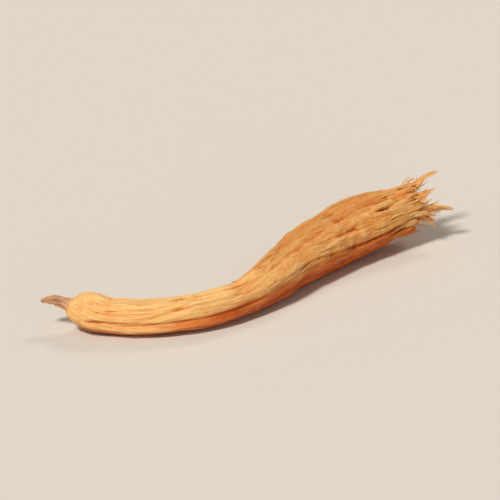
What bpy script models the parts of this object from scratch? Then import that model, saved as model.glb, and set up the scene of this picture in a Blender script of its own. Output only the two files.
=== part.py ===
"""One piece of dried cordyceps: a bent, shrivelled club of fungus that grew as one body.

The thin end carries a small withered nib that stands a little off the surface. Behind it the body
keeps an even thickness, bends through about sixty degrees and swells into a thicker club, which
ends in a torn, fibrous break with longer strands pulled out of it. The piece lies on its side on
the plane z = 0, on two flat rubbed strips of its underside, with both ends clear of the surface.

Units are metres, +Z is up. The origin is the middle of the bounding box's bottom.
"""

import math

import bmesh
import bpy
from mathutils import Vector

MM = 0.001

# ---------------------------------------------------------------- driving dimensions, millimetres
# One row per station along the axis, from the nib's tip to the torn break:
# x, y, height of the axis, half height of the section, width over height.
STATIONS = (
    (-18.90, -10.10, 3.20, 0.20, 1.25),  # withered tip of the nib
    (-17.40, -9.80, 3.08, 0.58, 1.25),
    (-16.00, -10.15, 2.76, 0.80, 1.15),  # neck of the nib
    (-15.30, -10.50, 2.58, 1.55, 1.08),  # shoulder
    (-14.20, -10.65, 2.38, 2.02, 1.06),
    (-12.10, -11.05, 2.08, 2.00, 1.06),
    (-9.30, -11.20, 1.84, 1.95, 1.08),  # lies on the surface from here
    (-5.10, -10.60, 1.84, 1.95, 1.10),
    (-1.50, -9.20, 1.92, 1.93, 1.10),
    (2.10, -6.55, 2.10, 1.98, 1.08),  # arched clear of the surface
    (4.50, -3.80, 2.36, 2.28, 1.06),  # the club swells
    (6.90, -0.10, 2.52, 2.62, 1.05),
    (9.90, 4.10, 2.76, 2.94, 1.06),  # lies on the surface again
    (13.50, 8.10, 3.00, 3.10, 1.08),
    (16.50, 10.45, 3.42, 2.86, 1.10),  # lifts off
    (18.90, 12.05, 3.90, 2.40, 1.16),  # torn break
)
PLAN_CENTRE = (2.955, 2.003)  # middle of the piece in plan, moved to the origin

# Creases and ribs that run along the body. Angles are in degrees round the section, 0 on the side
# that faces -Y on the straight part, 90 on top: angle at the start, angle at the end, start and
# end as shares of the length, depth in mm (a rib is negative), half width in degrees.
CREASES = (
    (-9.0, 3.0, 0.10, 0.54, 0.34, 10.0),  # groove over the front rib
    (-31.0, -20.0, 0.07, 0.54, -0.16, 8.0),  # front rib of the thin part
    (96.0, 80.0, 0.09, 0.50, 0.26, 11.0),  # furrow on top of the thin part
    (60.0, 52.0, 0.12, 0.46, -0.10, 9.0),
    (188.0, 206.0, 0.10, 0.52, 0.30, 12.0),  # furrow at the back of the thin part
    (-30.0, -40.0, 0.45, 0.98, 0.60, 12.0),  # deep crease low on the club's front
    (66.0, 82.0, 0.50, 1.05, 0.34, 11.0),  # furrow on top of the club
    (34.0, 20.0, 0.48, 0.95, -0.12, 10.0),  # rib between the two
    (160.0, 148.0, 0.42, 1.05, 0.55, 14.0),  # crease at the back of the club
    (126.0, 120.0, 0.52, 1.00, -0.16, 10.0),
    (222.0, 232.0, 0.40, 0.98, 0.34, 12.0),
    (2.0, -6.0, 0.66, 1.05, 0.24, 9.0),
)
# Places where the drying body pinched in across its length: share of the length, half width as a
# share, angle of the pinched side in degrees, depth in mm.
PINCHES = (
    (0.155, 0.020, 80.0, 0.16),
    (0.300, 0.022, 20.0, 0.10),
    (0.455, 0.030, 110.0, 0.20),
    (0.640, 0.026, -20.0, 0.16),
    (0.800, 0.024, 100.0, 0.18),
)
BREAK_DISH = 1.6  # how far the middle of the break lies behind its rim
BREAK_RAGGED = 0.75  # how far the rim stands forward and back
# Strands pulled out of the break: angle round the section, share of the section's radius, length
# past the break, thickness at the root, bend sideways and bend upwards at the tip.
STRANDS = (
    (-62.0, 0.62, 3.2, 0.95, -0.9, -0.7),
    (-8.0, 0.70, 4.9, 1.15, -1.3, -0.3),
    (48.0, 0.66, 3.8, 0.95, -0.5, 0.9),
    (104.0, 0.62, 5.4, 1.10, 0.7, 0.6),
    (168.0, 0.68, 4.2, 1.00, 1.5, -0.2),
    (236.0, 0.60, 2.9, 0.90, 0.6, -0.8),
)
RINGS = 72  # rings of faces from the nib to the middle of the break
SIDES = 36  # faces round the section
BREAK_RINGS = 5  # rings that turn in over the break
STRAND_ROOT = 2.4  # how deep a strand starts behind the break

CLUB_COLOUR = (0.66, 0.33, 0.11, 1.0)
CLUB_ROUGHNESS = 0.72


# ---------------------------------------------------------------- the body's surface
def station_lengths():
    """Chord length from the tip to each station, as shares of the whole."""
    total = [0.0]
    for a, b in zip(STATIONS, STATIONS[1:]):
        total.append(total[-1] + math.dist(a[:3], b[:3]))
    return [t / total[-1] for t in total], total[-1]


KNOTS, LENGTH = station_lengths()


def along(u):
    """The station values at share u of the length, on a smooth curve through every station."""
    i = 0
    while i < len(KNOTS) - 2 and u > KNOTS[i + 1]:
        i += 1
    h = KNOTS[i + 1] - KNOTS[i]
    t = (u - KNOTS[i]) / h

    def slope(k, column):
        lo, hi = max(k - 1, 0), min(k + 1, len(KNOTS) - 1)
        if lo == k or hi == k:
            return (STATIONS[hi][column] - STATIONS[lo][column]) / (KNOTS[hi] - KNOTS[lo])
        before, after = KNOTS[k] - KNOTS[lo], KNOTS[hi] - KNOTS[k]
        back = (STATIONS[k][column] - STATIONS[lo][column]) / before
        front = (STATIONS[hi][column] - STATIONS[k][column]) / after
        return (back * after + front * before) / (before + after)

    h00, h10 = (1 + 2 * t) * (1 - t) ** 2, t * (1 - t) ** 2
    h01, h11 = t * t * (3 - 2 * t), t * t * (t - 1)
    return [
        h00 * STATIONS[i][c]
        + h10 * h * slope(i, c)
        + h01 * STATIONS[i + 1][c]
        + h11 * h * slope(i + 1, c)
        for c in range(5)
    ]


def smooth(x):
    x = min(max(x, 0.0), 1.0)
    return x * x * (3 - 2 * x)


def angle_between(a, b):
    return (a - b + 180.0) % 360.0 - 180.0


def relief(u, degrees):
    """How far the surface stands in (positive) from the plain oval, in mm."""
    depth = 0.0
    for start, end, u0, u1, deep, wide in CREASES:
        middle = start + (end - start) * (u - u0) / (u1 - u0)
        fade = smooth((u - u0) / 0.05) * smooth((u1 - u) / 0.05)
        depth += deep * fade * math.exp(-((angle_between(degrees, middle) / wide) ** 2))
    for at, wide, side, deep in PINCHES:
        round_it = 0.5 + 0.5 * math.cos(math.radians(degrees - side))
        depth += deep * round_it * math.exp(-(((u - at) / wide) ** 2))
    return depth


def lobes(u, angle):
    """The section's departure from an oval, as a factor."""
    full = smooth((u - 0.06) / 0.06)
    return 1.0 + full * (
        0.030 * math.cos(2 * (angle - 1.0 - 0.9 * u))
        + 0.028 * math.cos(3 * (angle + 0.5 + 1.6 * u))
        + 0.016 * math.cos(5 * (angle - 0.3 + 2.2 * u))
    )


def ragged(angle):
    """How far the rim of the break stands forward at this angle, in mm."""
    return BREAK_RAGGED * (
        0.55 * math.sin(3 * angle + 0.4)
        + 0.35 * math.sin(7 * angle + 1.9)
        + 0.30 * math.sin(11 * angle + 4.1)
    )


def axes_at(u):
    """Centre of the section, its forward direction, the side way and the up way, half sizes."""
    x, y, z, high, ratio = along(u)
    low, top = max(u - 0.004, 0.0), min(u + 0.004, 1.0)
    a, b = along(low), along(top)
    forward = Vector((b[0] - a[0], b[1] - a[1], b[2] - a[2])).normalized()
    side = forward.cross(Vector((0, 0, 1))).normalized()
    up = side.cross(forward)
    centre = Vector((x - PLAN_CENTRE[0], y - PLAN_CENTRE[1], z))
    return centre, forward, side, up, high, high * ratio


def surface_point(u, angle, inward=1.0, ahead=0.0):
    """A point of the surface. inward shrinks the section, ahead moves it along the body in mm."""
    centre, forward, side, up, high, wide = axes_at(u)
    c, s = math.cos(angle), math.sin(angle)
    full = smooth((u - 0.05) / 0.04)
    factor = lobes(u, angle)
    deep = relief(u, math.degrees(angle)) * full
    across = side * (wide * c * factor) + up * (high * s * factor)
    across -= (side * (high * c) + up * (wide * s)).normalized() * deep
    point = centre + across * inward + forward * ahead
    point.z = max(point.z, 0.0)  # the underside is rubbed flat where it touches
    return point * MM


# ---------------------------------------------------------------- making the piece
def club_mesh():
    """The closed body: a ball whose rings are drawn out along the axis and onto the sections."""
    bm = bmesh.new()
    bmesh.ops.create_uvsphere(bm, u_segments=SIDES, v_segments=RINGS, radius=1.0)
    outer = RINGS - BREAK_RINGS
    for vert in bm.verts:
        k = round(math.acos(max(-1.0, min(1.0, vert.co.z))) / math.pi * RINGS)
        angle = math.atan2(vert.co.y, vert.co.x)
        if k <= outer:
            share = k / outer
            u = 0.5 * share**1.3 + 0.5 * share  # closer rings round the nib and shoulder
            rim = smooth((share - 0.93) / 0.07)
            vert.co = surface_point(u, angle, 0.0 if k == 0 else 1.0, ragged(angle) * rim)
        else:
            t = (k - outer) / BREAK_RINGS
            inward = 0.0 if k == RINGS else 1.0 - t**0.8
            ahead = ragged(angle) * (1.0 - t) - BREAK_DISH * math.sin(t * math.pi / 2)
            vert.co = surface_point(1.0, angle, inward, ahead)
    bmesh.ops.recalc_face_normals(bm, faces=bm.faces)
    mesh = bpy.data.meshes.new("cordyceps_club")
    bm.to_mesh(mesh)
    bm.free()
    return mesh


def strand(number, degrees, share, length, thick, sideways, upwards, folder):
    """A tapering strand that leaves the break, as a tube with closed ends."""
    centre, forward, side, up, high, wide = axes_at(1.0)
    angle = math.radians(degrees)
    root = centre + side * (wide * share * math.cos(angle)) + up * (high * share * math.sin(angle))
    curve = bpy.data.curves.new(f"strand_{number}", "CURVE")
    curve.dimensions = "3D"
    curve.bevel_depth = 0.5 * thick * MM
    curve.bevel_resolution = 1
    curve.use_fill_caps = True
    steps = 6
    spline = curve.splines.new("POLY")
    spline.points.add(steps)
    for i, point in enumerate(spline.points):
        t = i / steps
        bend = max(0.0, t * (length + STRAND_ROOT) - STRAND_ROOT) / length
        place = root + forward * (t * (length + STRAND_ROOT) - STRAND_ROOT)
        place += side * (-sideways * bend * bend) + up * (upwards * bend * bend)
        point.co = (*(place * MM), 1.0)
        point.radius = 1.0 - 0.72 * t**1.4
    tube = bpy.data.objects.new(curve.name, curve)
    folder.objects.link(tube)
    bpy.context.view_layer.update()
    graph = bpy.context.evaluated_depsgraph_get()
    mesh = bpy.data.meshes.new_from_object(tube.evaluated_get(graph))
    solid = bpy.data.objects.new(f"strand_solid_{number}", mesh)
    solid.matrix_world = tube.matrix_world
    bpy.data.objects.remove(tube)
    bm = bmesh.new()
    bm.from_mesh(mesh)
    bmesh.ops.remove_doubles(bm, verts=bm.verts, dist=1e-6)
    bmesh.ops.recalc_face_normals(bm, faces=bm.faces)
    bm.to_mesh(mesh)
    bm.free()
    folder.objects.link(solid)
    solid.hide_render = True
    solid.display_type = "WIRE"
    return solid


def club_material():
    material = bpy.data.materials.new("dried_fungus")
    material.use_nodes = True
    shader = material.node_tree.nodes["Principled BSDF"]
    shader.inputs["Base Color"].default_value = CLUB_COLOUR
    shader.inputs["Roughness"].default_value = CLUB_ROUGHNESS
    shader.inputs["Metallic"].default_value = 0.0
    return material


def main():
    for old in list(bpy.data.objects):
        bpy.data.objects.remove(old)
    parts = bpy.data.collections.new("dried_cordyceps")
    helpers = bpy.data.collections.new("strand_helpers")
    bpy.context.scene.collection.children.link(parts)
    bpy.context.scene.collection.children.link(helpers)

    mesh = club_mesh()
    mesh.materials.append(club_material())
    club = bpy.data.objects.new("cordyceps_club", mesh)
    parts.objects.link(club)
    mesh.shade_smooth()
    mesh.set_sharp_from_angle(angle=math.radians(50))

    for number, (degrees, share, length, thick, sideways, upwards) in enumerate(STRANDS, 1):
        solid = strand(number, degrees, share, length, thick, sideways, upwards, helpers)
        join = club.modifiers.new(f"strand_{number}", "BOOLEAN")
        join.operation = "UNION"
        join.solver = "EXACT"
        join.object = solid


main()
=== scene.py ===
"""The looks of one piece of dried cordyceps.

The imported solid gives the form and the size. Here the same form is made again as a fine mesh, with
the wrinkles, creases, torn end and loose fibres of a dried fungus, and a procedural material.
Lengths in this script are millimetres until a mesh is made, which is in metres.
"""

import math

import bpy
import numpy as np
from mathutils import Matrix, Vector


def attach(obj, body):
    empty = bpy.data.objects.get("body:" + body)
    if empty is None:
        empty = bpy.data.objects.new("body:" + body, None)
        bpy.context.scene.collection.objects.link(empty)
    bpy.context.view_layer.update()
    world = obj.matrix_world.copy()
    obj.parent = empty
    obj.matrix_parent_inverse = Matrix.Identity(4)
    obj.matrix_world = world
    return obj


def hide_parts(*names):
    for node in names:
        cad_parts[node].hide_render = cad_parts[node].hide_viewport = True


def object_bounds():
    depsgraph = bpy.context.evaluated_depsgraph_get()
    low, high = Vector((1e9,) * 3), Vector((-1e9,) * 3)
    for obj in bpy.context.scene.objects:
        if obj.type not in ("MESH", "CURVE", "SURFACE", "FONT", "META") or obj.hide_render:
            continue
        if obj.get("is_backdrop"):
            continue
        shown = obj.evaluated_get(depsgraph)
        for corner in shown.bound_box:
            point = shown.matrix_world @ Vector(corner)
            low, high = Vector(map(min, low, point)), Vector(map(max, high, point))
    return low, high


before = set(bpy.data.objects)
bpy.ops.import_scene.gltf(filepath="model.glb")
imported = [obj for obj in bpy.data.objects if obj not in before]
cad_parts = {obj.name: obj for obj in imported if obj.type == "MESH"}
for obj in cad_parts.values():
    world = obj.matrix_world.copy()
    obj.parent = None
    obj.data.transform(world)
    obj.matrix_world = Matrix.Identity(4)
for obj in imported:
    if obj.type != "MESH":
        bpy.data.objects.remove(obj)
CAD_BOX = [list(v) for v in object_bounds()]

MM = 0.001
NODE = "cordyceps_club"
TAU = 2 * math.pi

# ------------------------------------------------------------------ the form, as the solid has it
# x, y, height of the axis, half height of the section, width over height
STATIONS = np.array(
    (
        (-18.90, -10.10, 3.20, 0.20, 1.25),
        (-17.40, -9.80, 3.08, 0.58, 1.25),
        (-16.00, -10.15, 2.76, 0.80, 1.15),
        (-15.30, -10.50, 2.58, 1.55, 1.08),
        (-14.20, -10.65, 2.38, 2.02, 1.06),
        (-12.10, -11.05, 2.08, 2.00, 1.06),
        (-9.30, -11.20, 1.84, 1.95, 1.08),
        (-5.10, -10.60, 1.84, 1.95, 1.10),
        (-1.50, -9.20, 1.92, 1.93, 1.10),
        (2.10, -6.55, 2.10, 1.98, 1.08),
        (4.50, -3.80, 2.36, 2.28, 1.06),
        (6.90, -0.10, 2.52, 2.62, 1.05),
        (9.90, 4.10, 2.76, 2.94, 1.06),
        (13.50, 8.10, 3.00, 3.10, 1.08),
        (16.50, 10.45, 3.42, 2.86, 1.10),
        (18.90, 12.05, 3.90, 2.40, 1.16),
    )
)
PLAN_CENTRE = (2.955, 2.003)

# start angle, end angle, start and end as shares of the length, depth, half width in degrees
CREASES = (
    (-9.0, 3.0, 0.10, 0.54, 0.34, 10.0),
    (-31.0, -20.0, 0.07, 0.54, -0.16, 8.0),
    (96.0, 80.0, 0.09, 0.50, 0.26, 11.0),
    (60.0, 52.0, 0.12, 0.46, -0.10, 9.0),
    (188.0, 206.0, 0.10, 0.52, 0.30, 12.0),
    (-30.0, -40.0, 0.45, 0.98, 0.60, 12.0),
    (66.0, 82.0, 0.50, 1.05, 0.34, 11.0),
    (34.0, 20.0, 0.48, 0.95, -0.12, 10.0),
    (160.0, 148.0, 0.42, 1.05, 0.55, 14.0),
    (126.0, 120.0, 0.52, 1.00, -0.16, 10.0),
    (222.0, 232.0, 0.40, 0.98, 0.34, 12.0),
    (2.0, -6.0, 0.66, 1.05, 0.24, 9.0),
)
PINCHES = (
    (0.155, 0.020, 80.0, 0.16),
    (0.300, 0.022, 20.0, 0.10),
    (0.455, 0.030, 110.0, 0.20),
    (0.640, 0.026, -20.0, 0.16),
    (0.800, 0.024, 100.0, 0.18),
)
BREAK_RAGGED = 0.75

STEPS = np.linalg.norm(np.diff(STATIONS[:, :3], axis=0), axis=1)
KNOTS = np.concatenate([[0.0], np.cumsum(STEPS)])
KNOTS = KNOTS / KNOTS[-1]


def _slopes():
    gap = np.diff(KNOTS)[:, None]
    rise = np.diff(STATIONS, axis=0) / gap
    out = np.empty_like(STATIONS)
    out[0], out[-1] = rise[0], rise[-1]
    before, after = gap[:-1], gap[1:]
    out[1:-1] = (rise[:-1] * after + rise[1:] * before) / (before + after)
    return out


SLOPES = _slopes()


def along(u):
    """Station values at shares u of the length, as an array with a last axis of five."""
    u = np.asarray(u, float)
    i = np.clip(np.searchsorted(KNOTS, u, side="left") - 1, 0, len(KNOTS) - 2)
    h = (KNOTS[i + 1] - KNOTS[i])[..., None]
    t = (u[..., None] - KNOTS[i][..., None]) / h
    return (
        (1 + 2 * t) * (1 - t) ** 2 * STATIONS[i]
        + t * (1 - t) ** 2 * h * SLOPES[i]
        + t * t * (3 - 2 * t) * STATIONS[i + 1]
        + t * t * (t - 1) * h * SLOPES[i + 1]
    )


def smooth(x):
    x = np.clip(x, 0.0, 1.0)
    return x * x * (3 - 2 * x)


def unit(v):
    return v / np.linalg.norm(v, axis=-1, keepdims=True)


def axes_at(u):
    """Centre, forward, side, up, half height and half width of the section at u."""
    u = np.asarray(u, float)
    a = along(u)
    forward = unit(along(np.minimum(u + 0.004, 1.0))[..., :3] - along(np.maximum(u - 0.004, 0.0))[..., :3])
    side = unit(np.cross(forward, np.array((0.0, 0.0, 1.0))))
    up = np.cross(side, forward)
    centre = a[..., :3] - np.array((PLAN_CENTRE[0], PLAN_CENTRE[1], 0.0))
    return centre, forward, side, up, a[..., 3], a[..., 3] * a[..., 4]


def turn(a, b):
    """Signed difference of two angles in degrees."""
    return (a - b + 180.0) % 360.0 - 180.0


def relief(u, degrees):
    depth = np.zeros(np.broadcast(u, degrees).shape)
    for start, end, u0, u1, deep, wide in CREASES:
        middle = start + (end - start) * (u - u0) / (u1 - u0)
        fade = smooth((u - u0) / 0.05) * smooth((u1 - u) / 0.05)
        # the drawn creases are a little narrower and softer than the solid's
        narrow, share = (0.80 * wide, 0.64) if deep > 0 else (wide, 1.0)
        depth = depth + share * deep * fade * np.exp(-((turn(degrees, middle) / narrow) ** 2))
    for at, wide, side, deep in PINCHES:
        round_it = 0.5 + 0.5 * np.cos(np.radians(degrees - side))
        depth = depth + deep * round_it * np.exp(-(((u - at) / wide) ** 2))
    return depth


def lobes(u, angle):
    full = smooth((u - 0.06) / 0.06)
    return 1.0 + full * (
        0.030 * np.cos(2 * (angle - 1.0 - 0.9 * u))
        + 0.028 * np.cos(3 * (angle + 0.5 + 1.6 * u))
        + 0.016 * np.cos(5 * (angle - 0.3 + 2.2 * u))
    )


def ragged(angle):
    return BREAK_RAGGED * (
        0.55 * np.sin(3 * angle + 0.4) + 0.35 * np.sin(7 * angle + 1.9) + 0.30 * np.sin(11 * angle + 4.1)
    )


# ------------------------------------------------------------------ noise
_rng = np.random.RandomState(4711)
_PERM = _rng.permutation(256)
_GRAD = unit(_rng.normal(size=(256, 3)))


def perlin(x, y, z, seed=0):
    """Gradient noise, about -0.7 to 0.7, smooth and the same on each run."""
    x, y, z = np.broadcast_arrays(np.asarray(x, float), np.asarray(y, float), np.asarray(z, float))
    x = x + 17.31 * seed
    y = y - 9.77 * seed
    z = z + 5.13 * seed
    xi, yi, zi = (np.floor(v).astype(np.int64) for v in (x, y, z))
    xf, yf, zf = x - xi, y - yi, z - zi
    fx, fy, fz = (v * v * v * (v * (v * 6 - 15) + 10) for v in (xf, yf, zf))
    total = 0.0
    for dx in (0, 1):
        wx = fx if dx else 1 - fx
        for dy in (0, 1):
            wy = fy if dy else 1 - fy
            for dz in (0, 1):
                wz = fz if dz else 1 - fz
                h = _PERM[(_PERM[(_PERM[(xi + dx) & 255] + yi + dy) & 255] + zi + dz) & 255]
                g = _GRAD[h]
                dot = g[..., 0] * (xf - dx) + g[..., 1] * (yf - dy) + g[..., 2] * (zf - dz)
                total = total + wx * wy * wz * dot
    return total


def fbm(x, y, z, seed=0, octaves=3, gain=0.5):
    total, size, norm = 0.0, 1.0, 0.0
    for k in range(octaves):
        total = total + size * perlin(x * 2**k, y * 2**k, z * 2**k, seed + 31 * k)
        norm += size
        size *= gain
    return total / norm


def valley(n, wide, power=1.8):
    """1 at the noise's zero lines, falling to 0 at wide: a net of sharp valleys with round crests."""
    return np.clip(1.0 - np.abs(n) / wide, 0.0, 1.0) ** power


# ------------------------------------------------------------------ the skin
ROWS_BODY, ROWS_BREAK, SIDES = 262, 44, 320


def row_shares():
    """Shares of the length at which rows stand: closer round the nib, the shoulder and the break."""
    u = np.linspace(0, 1, 4001)
    density = 1.0 + 1.2 * np.exp(-((u / 0.075) ** 2)) + 0.6 * np.exp(-(((1 - u) / 0.06) ** 2))
    total = np.concatenate([[0], np.cumsum(0.5 * (density[1:] + density[:-1]))])
    total /= total[-1]
    return np.interp(np.linspace(0, 1, ROWS_BODY + 1), total, u)


def arc_lengths(u):
    points = along(u)[:, :3]
    return np.concatenate([[0.0], np.cumsum(np.linalg.norm(np.diff(points, axis=0), axis=1))])


TOP_U = row_shares()
TOP_S = arc_lengths(TOP_U)
FULL_LENGTH = TOP_S[-1]


def flow_coordinates(u, s, angle):
    """The straightened body: length along it, and the section laid out with its wandering grain."""
    a = along(u)
    size = 0.5 * a[..., 3] * (1 + a[..., 4])
    wander = 0.30 * np.sin(s / 8.5 + 0.6) + 0.55 * perlin(s / 9.0, 3.3, 8.1, 3)
    swing = angle + wander
    return s, size * np.cos(swing), size * np.sin(swing), size


def skin_depth(u, s, angle, x, y, z, size):
    """How far the fine surface stands in from the form, in mm, and masks for the colours."""
    degrees = np.degrees(angle)
    club = smooth((u - 0.44) / 0.16)
    nib = 1.0 - smooth((u - 0.045) / 0.035)
    scale = np.clip(size / 2.0, 0.25, 1.35)

    # the grain: its direction drifts, so furrows run together and part again
    dy = 0.35 * perlin(x / 3.1, y / 1.7, z / 1.7, 11)
    dz = 0.35 * perlin(x / 3.1, y / 1.7, z / 1.7, 12)
    n1 = perlin(x / 17.0, (y + dy) / 1.45, (z + dz) / 1.45, 21) + 0.05 * perlin(x / 2.4, y / 0.9, z / 0.9, 20)
    n2 = perlin(x / 5.6, (y + dy) / 0.78, (z + dz) / 0.78, 22) + 0.12 * perlin(x / 1.1, y / 0.8, z / 0.8, 23)
    n3 = perlin(x / 3.0, (y + 0.6 * dy) / 0.40, (z + 0.6 * dz) / 0.40, 24)
    n4 = perlin(x / 2.6, (y + 0.5 * dy) / 0.24, (z + 0.5 * dz) / 0.24, 25)
    n6 = perlin(x / 1.9, (y + 0.4 * dy) / 0.15, (z + 0.4 * dz) / 0.15, 28)
    patch = smooth(0.5 + 1.1 * perlin(x / 7.0, y / 3.0, z / 3.0, 26))
    patch2 = smooth(0.55 + 1.2 * perlin(x / 4.0, y / 2.2, z / 2.2, 27))
    v1 = valley(n1, 0.22, 2.2)
    v2 = valley(n2, 0.30, 2.0)
    v3 = valley(n3, 0.40, 1.6)
    depth = scale * (
        (0.10 + 0.02 * club) * v1 * (0.30 + 0.75 * patch)
        + 0.072 * v2 * (0.20 + 0.9 * patch2)
        + 0.048 * v3 * (0.3 + 0.9 * patch)
        + 0.046 * (n4 + 0.3)
        + 0.018 * n6
    )

    # soft dents and swellings of the shrunken body
    depth += scale * 0.11 * (0.35 + perlin(x / 4.6, y / 2.9, z / 2.9, 31))
    depth += scale * 0.05 * (0.3 + perlin(x / 1.5, y / 1.3, z / 1.3, 32))

    # fine puckers across the grain, on the inner side of each bend and behind the shoulder
    inner = smooth(np.cos(np.radians(degrees - 165.0)) * 0.9 + 0.1) * smooth((u - 0.22) / 0.1) * smooth((0.62 - u) / 0.12)
    outer = smooth(np.cos(np.radians(degrees - 10.0)) * 0.8 + 0.1) * smooth((u - 0.66) / 0.08) * smooth((0.95 - u) / 0.08)
    neck = np.exp(-(((u - 0.085) / 0.03) ** 2))
    pucker = valley(perlin(x / 0.75, y / 2.3, z / 2.3, 41) + 0.25 * perlin(x / 0.9, y / 0.6, z / 0.6, 42), 0.42, 1.7)
    across = np.clip(0.12 + 0.9 * inner + 0.7 * outer + 0.5 * neck, 0, 1)
    depth += scale * 0.085 * pucker * across

    # tiny pimples of the club's skin
    cells = perlin(x / 0.42, y / 0.42, z / 0.42, 51)
    rough = club * smooth(0.45 + 1.4 * perlin(x / 5.0, y / 2.0, z / 2.0, 52))
    depth += 0.035 * (0.4 - cells) * rough
    # a few small pits
    pits = smooth((perlin(x / 0.9, y / 0.7, z / 0.7, 53) - 0.42) / 0.16)
    depth += 0.10 * scale * pits

    # the withered nib: coarse folds for its size
    n5 = perlin(x / 2.2, y / 0.38, z / 0.38, 61)
    depth = depth * (1 - 0.75 * nib) + nib * size * 0.30 * valley(n5, 0.40, 1.3)
    return depth - 0.03 * scale, {"club": club, "nib": nib, "v1": v1, "v2": v2, "puckers": pucker * across, "pits": pits}


STAVES = 17


def staves(angle):
    """The torn wall as tongues of skin: how far each stands forward, the distance in mm to the split
    beside it, how far it peels, and the split's depth, length and half width."""
    rng = np.random.RandomState(77)
    gaps = rng.uniform(0.45, 1.7, STAVES)
    edges = np.concatenate([[0.0], np.cumsum(gaps / gaps.sum() * TAU)]) + 0.35
    reach = rng.uniform(-1.6, 1.5, STAVES)
    sharp = rng.uniform(0.7, 2.4, STAVES)
    tip = rng.uniform(0.2, 0.8, STAVES)
    a = (angle - 0.35) % TAU + 0.35
    k = np.clip(np.searchsorted(edges, a, side="right") - 1, 0, STAVES - 1)
    across = (a - edges[k]) / (edges[k + 1] - edges[k])
    apart = np.minimum(across, 1 - across) * (edges[k + 1] - edges[k]) * 2.4
    from_tip = np.maximum((tip[k] - across) / tip[k], (across - tip[k]) / (1 - tip[k]))
    forward = reach[k] - sharp[k] * from_tip**1.4
    forward = forward + 0.70 * perlin(6 * np.cos(angle), 6 * np.sin(angle), 2.7, 72)
    forward = forward + 0.80 * perlin(12 * np.cos(angle), 12 * np.sin(angle), 4.7, 73)
    peel = rng.uniform(-0.30, 0.45, STAVES)[k] * smooth(apart / 0.5)
    deep = rng.uniform(0.25, 0.95, STAVES)
    long = rng.uniform(1.4, 7.5, STAVES)
    broad = rng.uniform(0.08, 0.17, STAVES)
    edge = (k + (across > 0.5)) % STAVES
    return forward, apart, peel, deep[edge], long[edge], broad[edge]


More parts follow.
